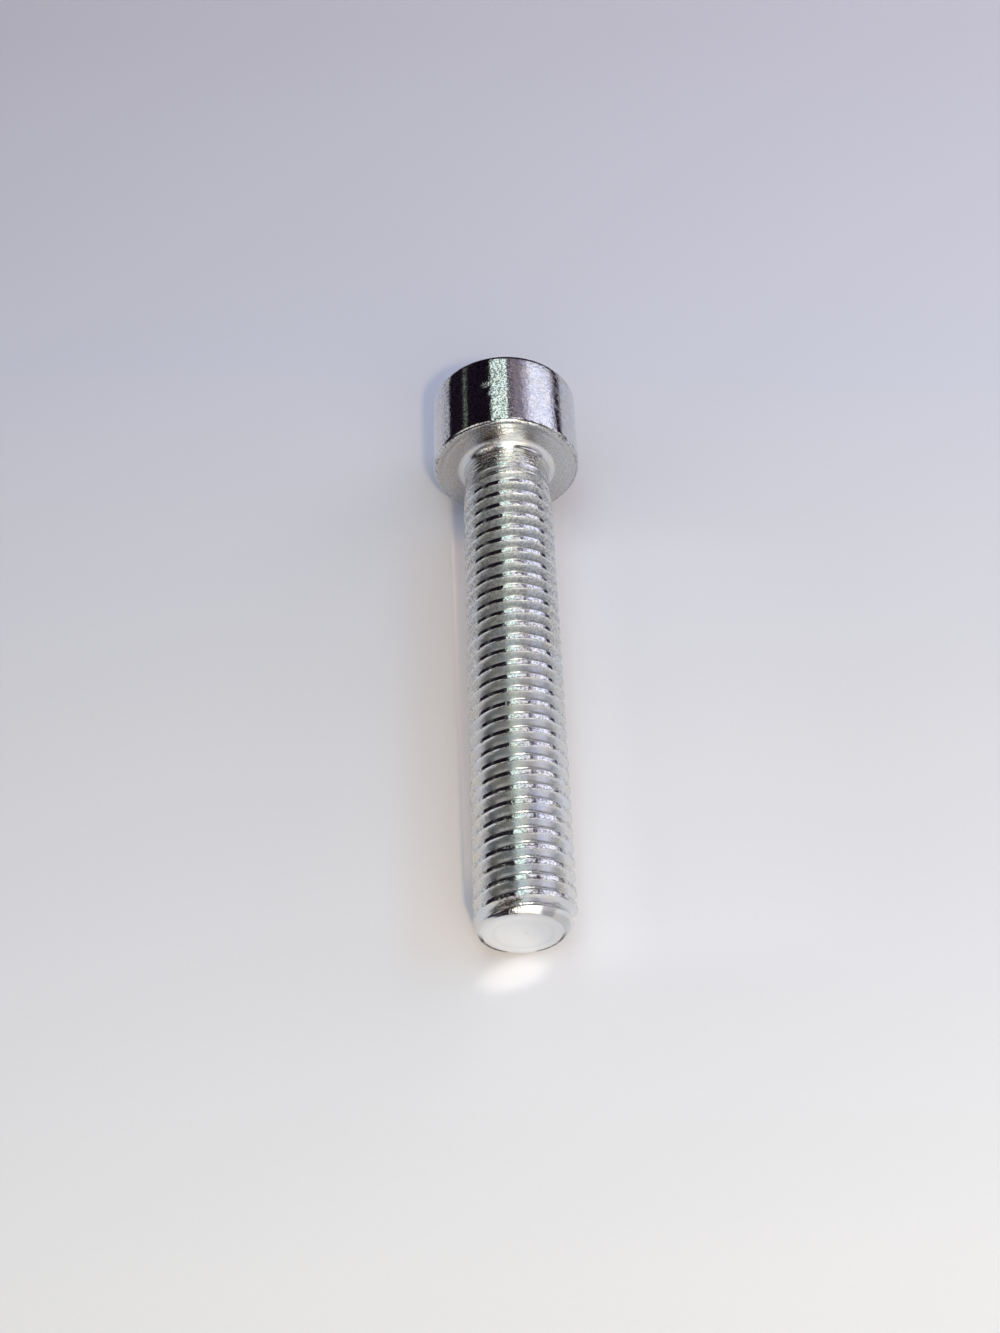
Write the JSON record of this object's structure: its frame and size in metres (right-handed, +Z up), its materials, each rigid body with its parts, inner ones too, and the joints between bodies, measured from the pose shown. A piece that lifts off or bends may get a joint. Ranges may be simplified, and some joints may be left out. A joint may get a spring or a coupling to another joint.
{
  "type": "hex socket cap screw",
  "caption": "Socket head cap screw: a plain round head with a hex key socket on a fully threaded shank with a chamfered flat tip.",
  "frame": {"origin": "the middle of the lying screw's bounding box, on the ground", "axes": "+Y along the ground from the tip to the head, +Z up from the ground, X across. The screw's own axis climbs 3.33 degrees towards the head, because it lies on its head's rim and on a thread crest by the tip"},
  "size_m": [0.013, 0.053, 0.0134],
  "materials": {
    "zinc_plate": "bright zinc plate on steel, glossy on the head's side, satin on the bearing face and in the thread"
  },
  "bodies": {
    "root": {"cap_screw": "zinc_plate"}
  },
  "joints": []
}
